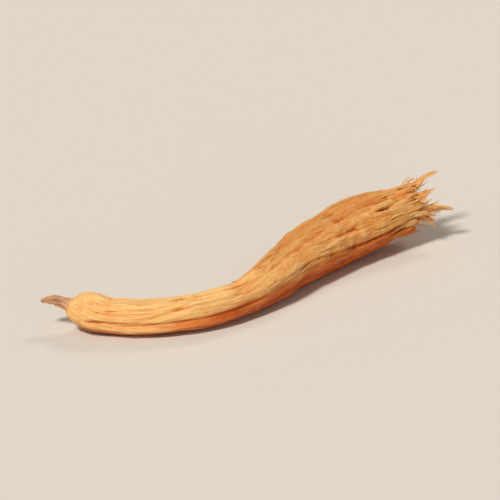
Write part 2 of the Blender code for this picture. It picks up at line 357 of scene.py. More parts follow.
def skin_rows():
    """All rows of the closed skin: places in mm, and what the colours need at each."""
    angle = np.arange(SIDES) / SIDES * TAU
    u, s = TOP_U[1:, None], TOP_S[1:, None]
    th = angle[None, :]
    x, y, z, size = flow_coordinates(u, s, th)
    x = np.broadcast_to(x, y.shape)
    depth, masks = skin_depth(u, s, th, x, y, z, size)
    centre, forward, side, up, high, wide = axes_at(TOP_U[1:])
    full = smooth((u - 0.05) / 0.04)
    factor = lobes(u, th)
    c, sn = np.cos(th), np.sin(th)
    out_way = unit(
        side[:, None, :] * (high[:, None] * c)[..., None] + up[:, None, :] * (wide[:, None] * sn)[..., None]
    )
    across = side[:, None, :] * (wide[:, None] * c * factor)[..., None]
    across = across + up[:, None, :] * (high[:, None] * sn * factor)[..., None]
    across = across - out_way * (relief(u, np.degrees(th)) * full)[..., None]
    share = TOP_S[1:] / FULL_LENGTH
    back = (1 - share) * FULL_LENGTH
    reach, apart, peel, deep, long, broad = staves(angle)
    edge = 0.35 * ragged(angle) + reach
    edge = edge[None, :]
    ahead = edge * smooth(1 - back / 5.2)[:, None]
    opened = smooth(1 - back[:, None] / long[None, :])
    split = deep * opened * np.exp(-((apart / (broad * (0.6 + 0.7 * opened))) ** 2))
    depth = depth + split
    lift = peel[None, :] * smooth(1 - back / 2.6)[:, None]
    place = centre[:, None, :] + across + forward[:, None, :] * ahead[..., None]
    place[..., 2] = np.maximum(place[..., 2], 0.0)
    place = place - out_way * (depth - lift)[..., None]
    tip_fade = smooth(share * FULL_LENGTH / 0.35)[:, None, None]
    place = centre[:, None, :] * (1 - tip_fade) + place * tip_fade + (1 - tip_fade) * (across * 0.9)

    # the break: over the lip, down the inside of the wall, and across the pith
    t = (np.arange(1, ROWS_BREAK) / ROWS_BREAK)[:, None]
    inward = np.interp(t, [0, 0.05, 0.12, 0.32, 0.46, 1.0], [1.0, 0.982, 0.945, 0.85, 0.74, 0.0])
    sink = np.interp(t, [0, 0.05, 0.12, 0.32, 0.46, 0.7, 1.0], [0.0, 0.02, -0.30, -1.3, -1.5, -0.9, -0.5])
    keep = np.interp(t, [0, 0.14, 0.34, 0.5, 1.0], [1.0, 0.85, 0.35, 0.12, 0.0])
    end = np.ones_like(t)
    cx, cy, cz, csize = flow_coordinates(end, FULL_LENGTH * end, th)
    cdepth, _ = skin_depth(end, FULL_LENGTH * end, th, np.broadcast_to(cx, cy.shape), cy, cz, csize)
    cdepth = cdepth + (split - lift)[-1][None]
    inside = across[-1][None] - out_way[-1][None] * cdepth[..., None]
    py, pz = cy * inward, cz * inward
    stubs = 1.3 * perlin(0.0, py / 0.85, pz / 0.85, 80) + 0.9 * np.maximum(perlin(0.0, py / 0.36, pz / 0.36, 81), -0.1)
    stubs = stubs + 0.45 * perlin(0.0, py / 0.16, pz / 0.16, 82)
    deeper = smooth((t - 0.10) / 0.3)
    wall_grain = 0.22 * perlin(0.0, 3.2 * csize * np.cos(th) / 1.2, 3.2 * csize * np.sin(th) / 1.2, 83)
    bit = inward + deeper * (1 - smooth((t - 0.5) / 0.3)) * wall_grain * 0.28
    cap = centre[-1] + inside * bit[..., None]
    cap = cap + forward[-1] * (edge * keep + sink + deeper * stubs)[..., None]
    cap_centre = centre[-1] + forward[-1] * -0.5

    rows = np.concatenate([place, cap])
    rows[..., 2] = np.maximum(rows[..., 2], 0.0)
    return angle, rows, centre[0] * 0 + along(0.0)[:3] - np.array((*PLAN_CENTRE, 0.0)), cap_centre, {
        "u": np.concatenate([np.broadcast_to(u, y.shape), np.broadcast_to(end, cy.shape)]),
        "flow": np.concatenate(
            [np.stack([x, y, z], -1), np.stack([FULL_LENGTH + 0 * cy - 2.2 * t * np.ones_like(cy), py, pz], -1)]
        ),
        "depth": np.concatenate([depth + relief(u, np.degrees(th)) * full, np.full(cy.shape, 0.2)]),
        "inside": np.concatenate([np.zeros(y.shape), smooth(t / 0.12) * np.ones_like(cy)]),
        "pits": np.concatenate([masks["pits"], np.zeros(cy.shape)]),
    }


def underside_shade_mask(u, angle, shade_edge_wobble=0.0):
    """Painted shade, 0 on top to 1 below: the club is dark up to its sides, the thin part only underneath."""
    club = smooth((u - 0.21 + 0.10 * shade_edge_wobble) / 0.24)
    height = np.sin(angle) + shade_edge_wobble - 0.12 * np.exp(-(((u - 0.44) / 0.10) ** 2))
    thin = np.maximum(smooth((-0.46 - height) / 0.50), 0.25 * smooth((0.30 - height) / 0.90))
    return club * smooth((0.46 - height) / 0.96) + (1 - club) * thin


def blur_rows(field, rows, sides):
    """A soft average over the grid, wrapping round the section."""
    out = field
    for _ in range(2):
        pad = np.pad(out, ((rows, rows), (0, 0)), mode="edge")
        total = np.cumsum(np.pad(pad, ((1, 0), (0, 0))), axis=0)
        out = (total[2 * rows + 1 :] - total[: -2 * rows - 1]) / (2 * rows + 1)
        pad = np.concatenate([out[:, -sides:], out, out[:, :sides]], axis=1)
        total = np.cumsum(np.pad(pad, ((0, 0), (1, 0))), axis=1)
        out = (total[:, 2 * sides + 1 :] - total[:, : -2 * sides - 1]) / (2 * sides + 1)
    return out


def new_mesh(name, places, faces, floats, vectors, layout, crisp):
    """faces hold vertex numbers, layout each face corner's place on the piece's map, and edges
    that turn by more than crisp degrees stay sharp."""
    mesh = bpy.data.meshes.new(name)
    mesh.from_pydata([], [], [])
    mesh.vertices.add(len(places))
    mesh.vertices.foreach_set("co", (np.asarray(places) * MM).astype(np.float32).ravel())
    sizes = np.array([len(f) for f in faces])
    loops = np.concatenate([np.asarray(f) for f in faces]).astype(np.int32)
    mesh.loops.add(len(loops))
    mesh.loops.foreach_set("vertex_index", loops)
    mesh.polygons.add(len(faces))
    starts = np.concatenate([[0], np.cumsum(sizes)[:-1]]).astype(np.int32)
    mesh.polygons.foreach_set("loop_start", starts)
    mesh.update(calc_edges=True)
    chart = mesh.uv_layers.new(name="OFBake")
    chart.uv.foreach_set("vector", np.asarray(layout, np.float32).ravel())
    mesh.validate()
    for key, values in floats.items():
        layer = mesh.attributes.new(key, "FLOAT", "POINT")
        layer.data.foreach_set("value", np.asarray(values, np.float32).ravel())
    for key, values in vectors.items():
        layer = mesh.attributes.new(key, "FLOAT_VECTOR", "POINT")
        layer.data.foreach_set("vector", np.asarray(values, np.float32).ravel())
    mesh.shade_smooth()
    mesh.set_sharp_from_angle(angle=math.radians(crisp))
    piece = bpy.data.objects.new(name, mesh)
    bpy.context.scene.collection.objects.link(piece)
    return piece


def make_skin():
    angle, rows, tip, cap_centre, facts = skin_rows()
    count = rows.shape[0]
    places = np.concatenate([[tip], rows.reshape(-1, 3), [cap_centre]])
    last = len(places) - 1
    index = 1 + np.arange(count * SIDES).reshape(count, SIDES)
    nxt = np.roll(index, -1, axis=1)
    quads = np.stack([index[:-1], index[1:], nxt[1:], nxt[:-1]], -1).reshape(-1, 4)
    faces = [*map(tuple, quads)]
    faces += [(0, int(a), int(b)) for a, b in zip(index[0], nxt[0])]
    faces += [(int(b), int(a), last) for a, b in zip(index[-1], nxt[-1])]

    # the map: the length runs across it and the girth up it
    steps = np.linalg.norm(np.diff(rows, axis=0), axis=-1).mean(axis=1)
    along_map = np.concatenate([[0.6], 0.6 + np.cumsum(steps)])
    along_map = along_map / (along_map[-1] + 0.6)
    row, col = np.meshgrid(np.arange(count), np.arange(SIDES), indexing="ij")
    left, right = along_map[row[:-1]], along_map[row[1:]]
    low, high = col[:-1] / SIDES, (col[:-1] + 1) / SIDES
    chart = np.stack([left, low, right, low, right, high, left, high], -1).reshape(-1, 2)
    low, high = np.arange(SIDES) / SIDES, (np.arange(SIDES) + 1) / SIDES
    level = np.ones(SIDES)
    first, final = along_map[0] * level, along_map[-1] * level
    tip_chart = np.stack([0 * level, (low + high) / 2, first, low, first, high], -1).reshape(-1, 2)
    end_chart = np.stack([final, high, final, low, level, (low + high) / 2], -1).reshape(-1, 2)
    chart = np.concatenate([chart, tip_chart, end_chart])

    depth = facts["depth"]
    body = slice(0, ROWS_BODY)
    near = depth[body] - blur_rows(depth[body], 4, 8)
    wide = depth[body] - blur_rows(depth[body], 11, 20)
    # cavity: how far a place lies below its neighbours; it drives the crease colour, partly painted shade, and the
    # painted crest highlight
    cavity = np.zeros_like(depth)
    cavity[body] = 0.5 + 3.1 * near + 0.4 * wide
    cavity[ROWS_BODY:] = 0.45
    up_way = rows[..., 2]
    th = np.broadcast_to(angle[None], depth.shape)
    fx, fy, fz = facts["flow"][..., 0], facts["flow"][..., 1], facts["flow"][..., 2]
    # a noise that makes the edges of the painted underside shade and the painted crown shade uneven
    shade_edge_wobble = 0.30 * perlin(fx / 3.4, fy / 1.1, fz / 1.1, 91) + 0.16 * perlin(fx / 1.2, fy / 0.35, fz / 0.35, 92)
    # painted shade: the skin's underside is darker, less so inside the break and towards both ends
    underside_shade = underside_shade_mask(facts["u"], th, shade_edge_wobble) * np.where(facts["inside"] > 0, 0.3, 1.0)
    underside_shade = underside_shade * (1 - 0.42 * smooth((facts["u"] - 0.86) / 0.14)) * (0.36 + 0.64 * smooth((facts["u"] - 0.07) / 0.09))
    # painted shade on the club's top, which the key light makes brighter
    crown_shade = smooth((np.sin(th - 0.20) - 0.62 + 0.8 * shade_edge_wobble) / 0.38) * smooth((facts["u"] - 0.45) / 0.2) * (1 - facts["inside"])

    def with_ends(field, a, b):
        return np.concatenate([[a], field.ravel(), [b]])

    floats = {
        "cavity": with_ends(np.clip(cavity, 0, 1), 0.4, 0.5),
        "underside_shade": with_ends(underside_shade, 0.3, 0.3),
        "inside": with_ends(facts["inside"], 0.0, 1.0),
        "length": with_ends(facts["u"], 0.0, 1.0),
        "pale": with_ends(facts["inside"] * 0.8, 0.0, 0.8),
        # the skin's tone carries a little of the crown's painted shade
        "tone": with_ends(-0.12 * crown_shade, 0.0, 0.0),
        "crown_shade": with_ends(crown_shade, 0.0, 0.0),
    }
    flow = facts["flow"].reshape(-1, 3)
    flow = np.concatenate([[(0, 0, 0)], flow, [(FULL_LENGTH - 2.2, 0, 0)]])
    piece = new_mesh("cordyceps_skin", places, faces, floats, {"flow": flow}, chart, 45)
    return piece, rows, facts


def on_skin(rows, s, angle):
    """Places on the skin at arc lengths s and angles, between the rows and columns of its mesh."""
    i = np.clip(np.interp(s, TOP_S[1:], np.arange(ROWS_BODY)), 0, ROWS_BODY - 1.001)
    j = np.asarray(angle) / TAU * SIDES
    i, j = np.broadcast_arrays(i, j)
    a, b = np.floor(i).astype(int), np.floor(j).astype(int)
    f, g = (i - a)[..., None], (j - b)[..., None]
    b, c = b % SIDES, (b + 1) % SIDES
    return (rows[a, b] * (1 - g) + rows[a, c] * g) * (1 - f) + (rows[a + 1, b] * (1 - g) + rows[a + 1, c] * g) * f


def axis_near(s):
    u = np.interp(s, TOP_S, TOP_U)
    return along(u)[..., :3] - np.array((PLAN_CENTRE[0], PLAN_CENTRE[1], 0.0))


# ------------------------------------------------------------------ fibres
class Strips:
    """Gathers many tapering strips and hairs into one mesh."""

    def __init__(self):
        self.places, self.faces, self.corners, self.areas, self.count = [], [], [], [], 0
        self.floats = {k: [] for k in ("cavity", "underside_shade", "inside", "length", "pale", "tone")}
        self.flow = []

    def add(self, path, across, wide, thick, sides=6, pale=0.6, tone=0.0, length=1.0, underside_shade=0.3, seed=0, shade=0.25):
        """path and across are (n, 3), wide and thick are (n,): half sizes in mm."""
        n = len(path)
        ahead = unit(np.gradient(path, axis=0))
        across = across - ahead * np.sum(across * ahead, axis=1, keepdims=True)
        across = unit(across)
        other = np.cross(ahead, across)
        rng = np.random.RandomState(seed + 900)
        turn_angles = (np.arange(sides) + 0.5) / sides * TAU
        bumps = 1.0 + 0.22 * rng.uniform(-1, 1, (1, sides)) + 0.10 * rng.uniform(-1, 1, (n, sides))
        ring = (
            path[:, None, :]
            + across[:, None, :] * (wide[:, None] * np.cos(turn_angles) * bumps)[..., None]
            + other[:, None, :] * (thick[:, None] * np.sin(turn_angles) * bumps)[..., None]
        )
        base = self.count
        self.places.append(ring.reshape(-1, 3))
        index = base + np.arange(n * sides).reshape(n, sides)
        nxt = np.roll(index, -1, axis=1)
        quads = np.stack([index[:-1], nxt[:-1], nxt[1:], index[1:]], -1).reshape(-1, 4)
        self.faces += [tuple(int(v) for v in q) for q in quads]
        self.faces.append(tuple(int(v) for v in index[0][::-1]))
        self.faces.append(tuple(int(v) for v in index[-1]))
        row, col = np.meshgrid(np.arange(n - 1), np.arange(sides), indexing="ij")
        col = sides - col
        grid = np.stack([row, col, row, col - 1, row + 1, col - 1, row + 1, col], -1).reshape(-1, 2)
        ends = [(0, sides - j) for j in range(sides)][::-1] + [(n - 1, sides - j) for j in range(sides)]
        self._chart(np.concatenate([grid, ends]), n, sides, path, 2.2 * float(np.max(wide) + np.max(thick)))
        self.count += n * sides
        total = n * sides
        share = np.repeat(np.linspace(0, 1, n), sides)
        run = np.repeat(np.concatenate([[0], np.cumsum(np.linalg.norm(np.diff(path, axis=0), axis=1))]), sides)
        lay = np.stack(
            [
                run + 13.7 * seed % 91,
                (np.cos(turn_angles)[None] * wide[:, None]).ravel() + 3.1 * seed % 17,
                (np.sin(turn_angles)[None] * thick[:, None]).ravel() + 1.7 * seed % 13,
            ],
            -1,
        )
        self.flow.append(lay)
        # painted shade: the strip darkens towards its root, where it lies in the torn end
        self.floats["cavity"].append(np.full(total, 0.38) + shade * (1 - share) ** 2)
        self.floats["underside_shade"].append(np.full(total, underside_shade))
        self.floats["inside"].append(np.full(total, 0.55))
        self.floats["length"].append(np.full(total, length))
        self.floats["pale"].append(np.clip(pale * (0.65 + 0.5 * share), 0, 1))
        self.floats["tone"].append(np.full(total, tone))

    def sheet(self, path, across, half, thick, ends, curl, ridges, pale, tone, length=1.0, underside_shade=0.1, inside=0.5, seed=0, shade=0.0):
        """A torn strip with two faces. path and across are (n, 3), half and thick (n,), and ends is
        how far along the path each column of the strip runs."""
        n, cols = len(path), len(ends)
        base_t = np.linspace(0, 1, n)
        t = base_t[:, None] * ends[None, :]
        w = np.broadcast_to(np.linspace(-1, 1, cols)[None, :], t.shape)
        ahead = unit(np.gradient(path, axis=0))
        flat = unit(across - ahead * np.sum(across * ahead, axis=1, keepdims=True))
        up_way = np.cross(ahead, flat)

        def at(values):
            if values.ndim == 1:
                return np.interp(t, base_t, values)
            return np.stack([np.interp(t, base_t, values[:, k]) for k in range(3)], -1)

        centre_line, flat_t, up_t, half_t, thick_t = at(path), at(flat), at(up_way), at(half), at(thick)
        wave = perlin(t * 3.1 + seed, w * ridges * 0.5, 0.37 * seed, 5)
        fine = perlin(t * 2.0 + seed, w * ridges, 0.71 * seed, 6)
        edge_wave = 1 + 0.25 * perlin(t * 5.0, seed * 1.3, np.sign(w), 7)
        offset = curl * (w**2 - 0.4) * half_t + 0.30 * wave * half_t + 0.10 * fine * half_t
        middle = centre_line + flat_t * (half_t * w * edge_wave)[..., None] + up_t * offset[..., None]
        body = thick_t * (1 - 0.70 * np.abs(w) ** 2.5) * (1 - 0.8 * (t / np.maximum(ends[None, :], 0.05)) ** 3)
        body = body * (1 + 0.5 * fine)
        top = middle + up_t * body[..., None]
        low = middle - up_t * body[..., None]
        ring = np.concatenate([top, low[:, ::-1]], axis=1)
        sides = 2 * cols
        base = self.count
        self.places.append(ring.reshape(-1, 3))
        index = base + np.arange(n * sides).reshape(n, sides)
        nxt = np.roll(index, -1, axis=1)
        quads = np.stack([index[:-1], index[1:], nxt[1:], nxt[:-1]], -1).reshape(-1, 4)
        self.faces += [tuple(int(v) for v in q) for q in quads]
        ends_at = []
        for i, flip in ((0, False), (n - 1, True)):
            for c in range(cols - 1):
                q = [(i, c), (i, c + 1), (i, sides - 2 - c), (i, sides - 1 - c)]
                beside = n if flip else -1
                spot = [(i, c), (i, c + 1), (beside, c + 1), (beside, c)]
                if flip:
                    q, spot = q[::-1], spot[::-1]
                self.faces.append(tuple(int(index[a, b]) for a, b in q))
                ends_at += spot
        row, col = np.meshgrid(np.arange(n - 1), np.arange(sides), indexing="ij")
        grid = np.stack([row, col, row + 1, col, row + 1, col + 1, row, col + 1], -1).reshape(-1, 2)
        self._chart(np.concatenate([grid, ends_at]), n, sides, path, 4.0 * float(np.max(half)))
        self.count += n * sides
        run = np.concatenate([[0], np.cumsum(np.linalg.norm(np.diff(path, axis=0), axis=1))])
        run_t = at(run)
        wt = half_t * w
        lay_top = np.stack([run_t, wt, body], -1)
        lay_low = np.stack([run_t, wt, -body - 0.4], -1)
        lay = np.concatenate([lay_top, lay_low[:, ::-1]], axis=1).reshape(-1, 3)
        lay += np.array((7.7 * seed % 91, 3.1 * seed % 17, 1.7 * seed % 13))
        self.flow.append(lay)
        t2 = np.concatenate([t, t[:, ::-1]], axis=1).ravel()
        f2 = np.concatenate([fine, fine[:, ::-1]], axis=1).ravel()
        w2 = np.abs(np.concatenate([w, w[:, ::-1]], axis=1)).ravel()
        # painted shade: each strip darkens towards its root, deep in the break
        root = np.clip(1 - t2 / 0.75, 0, 1) ** 1.5
        self.floats["cavity"].append(np.clip(0.50 - 0.55 * f2 - 0.25 * w2**3 + shade * root, 0, 1))
        self.floats["underside_shade"].append(np.full(n * sides, underside_shade))
        self.floats["inside"].append(np.full(n * sides, inside))
        self.floats["length"].append(np.full(n * sides, length))
        outer, inner = pale if isinstance(pale, tuple) else (pale, pale)
        face = np.concatenate([np.full((n, cols), outer), np.full((n, cols), inner)], axis=1).ravel()
        rim = 0.30 * w2**4 * (1 - 0.8 * min(underside_shade, 1.0))
        self.floats["pale"].append(np.clip(face * (0.60 + 0.55 * t2) + rim, 0, 1))
        self.floats["tone"].append(np.full(n * sides, tone))

    def _chart(self, corners, n, sides, path, girth):
        """Notes where each face corner lies on the strip's own patch, from 0 to 1, and the patch's size."""
        self.corners.append(corners / np.array((n - 1, sides)))
        run = float(np.linalg.norm(np.diff(path, axis=0), axis=1).sum())
        self.areas.append((run, 2.0 * girth))

    def _layout(self):
        """Sets the strips' patches on one map, tallest first, in shelves from the bottom up."""
        gap = 0.003
        order = sorted(range(len(self.areas)), key=lambda k: -self.areas[k][1])

        def shelves(scale):
            spots, x, y, high = {}, gap, gap, 0.0
            for k in order:
                wide, tall = self.areas[k][0] * scale, max(self.areas[k][1] * scale, 0.004)
                if x + wide + gap > 1.0:
                    x, y, high = gap, y + high + gap, 0.0
                spots[k] = (x, y, wide, tall)
                x, high = x + wide + gap, max(high, tall)
            return spots, y + high + gap

        small, large = 0.0, 0.9 / max(a[0] for a in self.areas)
        for _ in range(30):
            middle = (small + large) / 2
            small, large = (middle, large) if shelves(middle)[1] <= 1.0 else (small, middle)
        spots = shelves(small)[0]
        found = []
        for k, c in enumerate(self.corners):
            inside = np.clip(c, 0, 1)
            # an end face lies just outside the strip's patch
            beside = np.sign(c - inside) * np.array((0.45 * gap, 0.0))
            found.append(np.array(spots[k][:2]) + inside * np.array(spots[k][2:]) + beside)
        return np.concatenate(found)

    def piece(self, name):
        places = np.concatenate(self.places)
        places[:, 2] = np.maximum(places[:, 2], 0.005)
        # the map's corners in the order of the faces: each strip adds its quads, then its ends
        return new_mesh(
            name,
            places,
            self.faces,
            {k: np.concatenate(v) for k, v in self.floats.items()},
            {"flow": np.concatenate(self.flow)},
            self._layout(),
            0,
        )


# tips of the solid's strands: angle, share of the radius, length, thickness, bend sideways and up
STRANDS = (
    (-62.0, 0.62, 3.2, 0.95, -0.9, -0.7),
    (-8.0, 0.70, 4.9, 1.15, -1.3, -0.3),
    (48.0, 0.66, 3.8, 0.95, -0.5, 0.9),
    (104.0, 0.62, 5.4, 1.10, 0.7, 0.6),
    (168.0, 0.68, 4.2, 1.00, 1.5, -0.2),
    (236.0, 0.60, 2.9, 0.90, 0.6, -0.8),
)


HIGHEST = CAD_BOX[1][2] / MM + 0.12


def under(path):
    """Keeps a path below the top of the solid, bending it over softly."""
    z = path[:, 2]
    soft = HIGHEST - 1.6
    room = HIGHEST - soft
    path[:, 2] = np.where(z > soft, soft + room * np.tanh((z - soft) / room), z)
    return path


def torn_fibres(wall, pith):
    """The torn end: strips of the wall, and the pith's fibres within them."""
    rng = np.random.RandomState(2024)
    centre, forward, side, up, high, wide = axes_at(1.0)

    def root_at(angle, share):
        return centre + side * (wide * share * math.cos(angle)) + up * (high * share * math.sin(angle))

    def route(angle, share, length, root, sideways, upwards, splay, steps, wobble=1.0):
        """Out of the break along the grain, then bending away."""
        t = np.linspace(0, 1, steps)
        run = t * (length + root) - root
        bend = np.clip(run, 0, None) / max(length, 0.5)
        a, b, c, d = rng.uniform(0, TAU, 4)
        amp = wobble * (0.06 + 0.055 * length)
        radial = side * math.cos(angle) + up * math.sin(angle)
        path = (
            root_at(angle, share)
            + forward * run[:, None]
            + side * (-sideways * bend**2 + amp * (np.sin(2.6 * bend + a) - math.sin(a)) * bend)[:, None]
            + up * (upwards * bend**2 + amp * (np.sin(3.0 * bend + b) - math.sin(b)) * bend)[:, None]
            + radial * (splay * bend**1.6)[:, None]
            + forward * (-0.12 * length * (sideways**2 + upwards**2 + splay**2) / max(length, 1.0) ** 2 * bend**2)[:, None]
        )
        return under(path), t

    def shred(strips, angle, share, length, half, thick, sideways, upwards, splay, cols, curl, pale, tone, seed, root=2.6, fray=0.35,
              blunt=0.0, wobble=1.0):
        path, t = route(angle, share, length, root, sideways, upwards, splay, 30, wobble)
        tangent = side * math.cos(angle + math.pi / 2) + up * math.sin(angle + math.pi / 2)
        other = np.cross(forward, tangent)
        spin = rng.uniform(-0.25, 0.25) + rng.uniform(-1.3, 1.3) * t**1.5
        across = tangent * np.cos(spin)[:, None] + other * np.sin(spin)[:, None]
        wave = 1 + 0.22 * np.sin(4.5 * t + rng.uniform(0, 6)) + 0.12 * np.sin(11 * t + rng.uniform(0, 6))
        width = half * (0.35 + 0.65 * smooth(t / 0.35)) * (1 - (0.62 - 0.42 * blunt) * t**1.6) * wave
        slope = rng.uniform(-0.18, 0.18)
        ends = 1.0 - fray * rng.uniform(0, 1, cols) ** 1.6 + slope * np.linspace(-1, 1, cols)
        ends = np.clip(ends / ends.max(), 0.4, 1.0)
        # painted shade: shreds from deeper in the break, and those lying low, are painted darker and more orange
        low = max(0.0, -math.sin(angle))
        strips.sheet(path, across, width, np.full(len(t), thick), ends, curl, cols * 0.8, pale, tone,
                     underside_shade=0.08 + 0.22 * low, seed=seed, shade=0.30 + 0.35 * (1 - share) + 0.15 * low)

    def lean(angle, share):
        """Neighbouring fibres bend the same way."""
        y, z = 1.5 * share * math.cos(angle), 1.5 * share * math.sin(angle)
        return float(2.0 * perlin(y, z, 1.7, 85)), float(1.6 * perlin(y, z, 5.2, 86))

    seed = 1
    # six splinters, one for each strand of the solid, each with slivers split from it
    for degrees, share, length, thick, sideways, upwards in STRANDS:
        a = math.radians(degrees)
        shred(wall, a, share + 0.02, length, 0.62 * thick, 0.16, sideways, upwards, 0.0, 15, rng.uniform(-0.6, 0.0),
              (rng.uniform(0.1, 0.4), rng.uniform(0.6, 0.9)), rng.uniform(-0.5, 0.8), seed, fray=0.30, blunt=0.55, wobble=1.5)
        seed += 1
        for k in range(5):
            shred(wall, a + rng.normal() * 0.16, share + rng.uniform(-0.14, 0.10), length * rng.uniform(0.45, 0.95),
                  rng.uniform(0.12, 0.36), rng.uniform(0.04, 0.09), sideways + rng.normal() * 0.40,
                  upwards + rng.normal() * 0.32, rng.uniform(-0.2, 0.25), 6, rng.uniform(-0.8, 0.6),
                  (rng.uniform(0.2, 0.6), rng.uniform(0.5, 1.0)), rng.uniform(-0.8, 1), seed, blunt=0.4, wobble=1.8)
            seed += 1
    # torn strips of the wall, lying against the inside of the skin where they leave it
    for k in range(30):
        a = (k + rng.uniform(-0.4, 0.4)) / 30 * TAU
        length = rng.uniform(0.3, 1.0) ** 1.5 * 2.8
        half = rng.uniform(0.20, 0.70)
        bend = lean(a, 0.85)
        shred(wall, a, rng.uniform(0.76, 0.90), length, half, rng.uniform(0.05, 0.10),
              0.25 * bend[0] * length + rng.normal() * 0.12, 0.25 * bend[1] * length + rng.normal() * 0.10,
              rng.uniform(-0.35, 0.30), 11, -0.2 - half * rng.uniform(0.0, 1.2),
              (rng.uniform(0.0, 0.4), rng.uniform(0.5, 0.9)), rng.uniform(-0.8, 1), seed, fray=0.45, blunt=0.9, wobble=1.8)
        seed += 1
    # broad ribbons, torn off blunt and curling over
    for k in range(20):
        a = (k * 0.618 + rng.uniform(-0.06, 0.06)) % 1.0 * TAU
        share = rng.uniform(0.30, 0.80)
        length = rng.uniform(0.9, 3.6)
        half = rng.uniform(0.28, 0.62)
        bend = lean(a, share)
        shred(pith, a, share, length, half, rng.uniform(0.045, 0.085),
              0.34 * bend[0] * length + rng.normal() * 0.22, 0.34 * bend[1] * length + rng.normal() * 0.18,
              rng.uniform(-0.30, 0.35), 10, rng.uniform(-1.1, 0.6),
              (rng.uniform(0.35, 0.7), rng.uniform(0.6, 1.0)), rng.uniform(-0.9, 0.9), seed, root=2.4, fray=0.38,
              blunt=1.0, wobble=2.0)
        seed += 1
    # the pith's own coarse fibres
    for _ in range(46):
        a = rng.uniform(0, TAU)
        r = math.sqrt(rng.uniform(0, 1)) * 0.68
        length = rng.uniform(0.15, 1.0) ** 1.6 * 3.4
        bend = lean(a, r)
        shred(pith, a, r, length, rng.uniform(0.08, 0.34), rng.uniform(0.04, 0.10), 0.28 * bend[0] * length + rng.normal() * 0.15,
              0.28 * bend[1] * length + rng.normal() * 0.12, rng.uniform(-0.2, 0.15), 6, rng.uniform(-0.8, 0.8),
              rng.uniform(0.35, 0.9), rng.uniform(-0.8, 1), seed, root=2.0, fray=0.40, blunt=0.7, wobble=1.9)
        seed += 1
    # hairs
    for _ in range(100):
        a = rng.uniform(0, TAU)
        r = math.sqrt(rng.uniform(0.05, 1)) * 0.86
        length = rng.uniform(0.12, 1.0) ** 1.6 * 3.2
        bend = lean(a, r)
        path, t = route(a, r, length, 1.6, 0.3 * bend[0] * length + rng.normal() * 0.4,
                        0.3 * bend[1] * length + rng.normal() * 0.3, rng.uniform(-0.2, 0.4), 20, 4.0)
        thin = rng.uniform(0.014, 0.038)
        across = np.broadcast_to(side, path.shape)
        pith.add(path, across, thin * (1 - 0.7 * t), 0.8 * thin * (1 - 0.7 * t), 5, rng.uniform(0.5, 0.9),
                   rng.uniform(0, 1), 1.0, 0.1, seed, 0.5)
        seed += 1


def lip_slivers(rows, strips):
    """Slivers of skin that run on past the torn lip."""
    rng = np.random.RandomState(808)
    middle = rows[ROWS_BODY - 1].mean(axis=0)
    for k in range(170):
        angle = rng.uniform(0, TAU)
        track = on_skin(rows, FULL_LENGTH - np.linspace(3.0, 0.0, 11), angle)
        way = unit(track[-1] - track[-4])
        out = unit(track[-1] - middle)
        out = unit(out - way * np.dot(out, way))
        length = rng.uniform(0.2, 1.0) ** 1.5 * 1.5
        run = np.linspace(0, 1, 10)[1:]
        bend = rng.normal() * 0.22 - 0.06
        turn_aside = rng.normal() * 0.18
        aside = np.cross(out, way)
        beyond = track[-1] + way * (run * length)[:, None] + (out * bend + aside * turn_aside) * (length * run**2)[:, None]
        path = under(np.concatenate([track - out * 0.03, beyond - out * 0.03]))
        t = np.linspace(0, 1, len(path))
        half = rng.uniform(0.04, 0.17) * smooth(t / 0.25 + 0.15) * (1 - 0.75 * t**2)
        ends = np.clip(1.0 - 0.35 * rng.uniform(0, 1, 5), 0.4, 1.0)
        strips.sheet(path, np.broadcast_to(aside, path.shape), half, np.full(len(t), rng.uniform(0.025, 0.05)), ends / ends.max(),
                     rng.uniform(-0.5, 0.3), 4, (rng.uniform(0.0, 0.4), rng.uniform(0.5, 0.9)), rng.uniform(-0.8, 0.8),
                     underside_shade=0.5 * float(underside_shade_mask(1.0, angle)), seed=k + 3000)


def surface_fibrils(rows, groups):
    """Thin threads of skin that have come a little loose along the grain, shared out between the groups."""
    rng = np.random.RandomState(99)
    for k in range(120):
        start = rng.uniform(4.0, FULL_LENGTH - 5.0)
        length = min(rng.uniform(1.0, 6.0), FULL_LENGTH - 0.4 - start)
        count = max(8, int(length / 0.2))
        t = np.linspace(0, 1, count)
        degrees = rng.uniform(-75, 250)
        wave = rng.uniform(-11, 11) * t + 2.8 * np.sin(t * rng.uniform(2, 5) + rng.uniform(0, 6))
        s = start + length * t
        on = on_skin(rows, s, np.radians(degrees + wave))
        out = unit(on - axis_near(s))
        if on[:, 2].min() < 0.25:
            continue
        w = rng.uniform(0.012, 0.036)
        lift = 0.3 * w + rng.uniform(0.0, 0.30) * smooth((t - rng.uniform(0.3, 0.8)) / 0.6) ** 2
        path = on + out * lift[:, None]
        ahead = unit(np.gradient(path, axis=0))
        across = np.cross(out, ahead)
        strips = groups[k % len(groups)]
        strips.add(path, across, w * (1 - 0.8 * t**2) * smooth(t / 0.15 + 0.2), 0.6 * w * (1 - 0.8 * t**2), 5,
                   rng.uniform(0.2, 0.7), rng.uniform(-0.3, 0.8), max(float(np.interp(start, TOP_S, TOP_U)), 0.12),
                   0.7 * float(underside_shade_mask(np.interp(start, TOP_S, TOP_U), math.radians(degrees))), k + 500)


